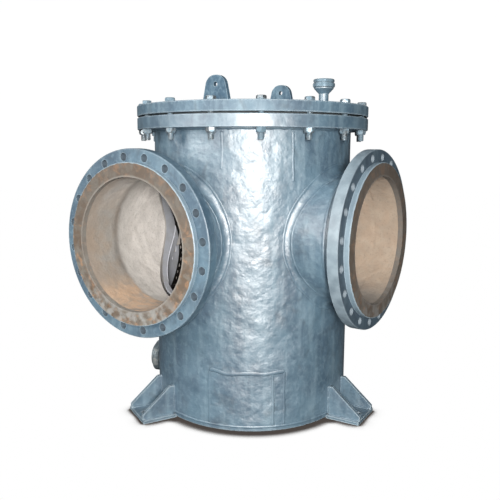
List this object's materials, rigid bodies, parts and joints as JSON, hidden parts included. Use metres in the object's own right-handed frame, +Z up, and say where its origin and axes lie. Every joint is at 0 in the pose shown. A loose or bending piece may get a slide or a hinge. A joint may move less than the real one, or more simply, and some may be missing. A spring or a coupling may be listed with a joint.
{
  "type": "basket strainer",
  "caption": "Upright can basket strainer for a large pipeline: drum body on feet, side inlet and outlet flanges set at a right angle, bolted cover with lifting lugs, vent and drain.",
  "frame": {"origin": "on the drum's vertical axis at floor level, in the plane of the feet's undersides", "axes": "+Z up along the drum's axis; +X is the outlet's outward direction; -Y is the inlet's outward direction, whose axis is parallel to Y and set over towards -X"},
  "size_m": [0.9469, 1.0028, 1.217],
  "materials": {
    "paint": "blue-grey semi-gloss enamel over rough plate",
    "facing": "bare, lightly rusted",
    "fastener": "zinc plated, dulled by overspray",
    "bare_steel": "machined, dull",
    "screen": "perforated sheet, dull",
    "seal": "matt"
  },
  "bodies": {
    "casing": {"body_shell": "paint", "inlet_neck": "paint", "outlet_neck": "paint", "bottom_plate": "paint", "body_flange": "paint", "inlet_flange": "paint", "outlet_flange": "paint", "inlet_facing": "facing", "outlet_facing": "facing", "right_foot_plate": "paint", "rear_foot_plate": "paint", "left_foot_plate": "paint", "right_foot_gussets": "paint", "rear_foot_gussets": "paint", "left_foot_gussets": "paint", "drain_neck": "paint", "cover_gasket": "seal", "cover_nuts": "fastener", "basket_rest": "paint"},
    "cover": {"cover_plate": "paint", "cover_bolts": "fastener", "front_lifting_lug": "paint", "rear_lifting_lug": "paint", "vent_neck": "paint"},
    "basket": {"basket_screen": "screen", "basket_bottom": "screen", "basket_rim_ring": "screen", "basket_collar": "screen", "basket_handle": "screen"},
    "vent_closure": {"vent_cap": "fastener", "vent_seal": "seal"},
    "drain_closure": {"drain_cap": "bare_steel", "drain_seal": "seal"}
  },
  "joints": [
    {"name": "cover_lift", "type": "slide", "parent": "casing", "child": "cover", "axis": [0, 0, 1], "range_m": [0, 1.4]},
    {"name": "basket_lift", "type": "slide", "parent": "casing", "child": "basket", "axis": [0, 0, 1], "range_m": [0, 1.05]},
    {"name": "vent_cap_lift", "type": "slide", "parent": "cover", "child": "vent_closure", "axis": [0, 0, 1], "range_m": [0, 0.05]},
    {"name": "drain_cap_pull", "type": "slide", "parent": "casing", "child": "drain_closure", "axis": [-0.9613, -0.2756, 0], "range_m": [0, 0.06]}
  ],
  "couplings": [
    {"joint": "basket_lift", "follows": "cover_lift", "ratio": 0.75}
  ]
}
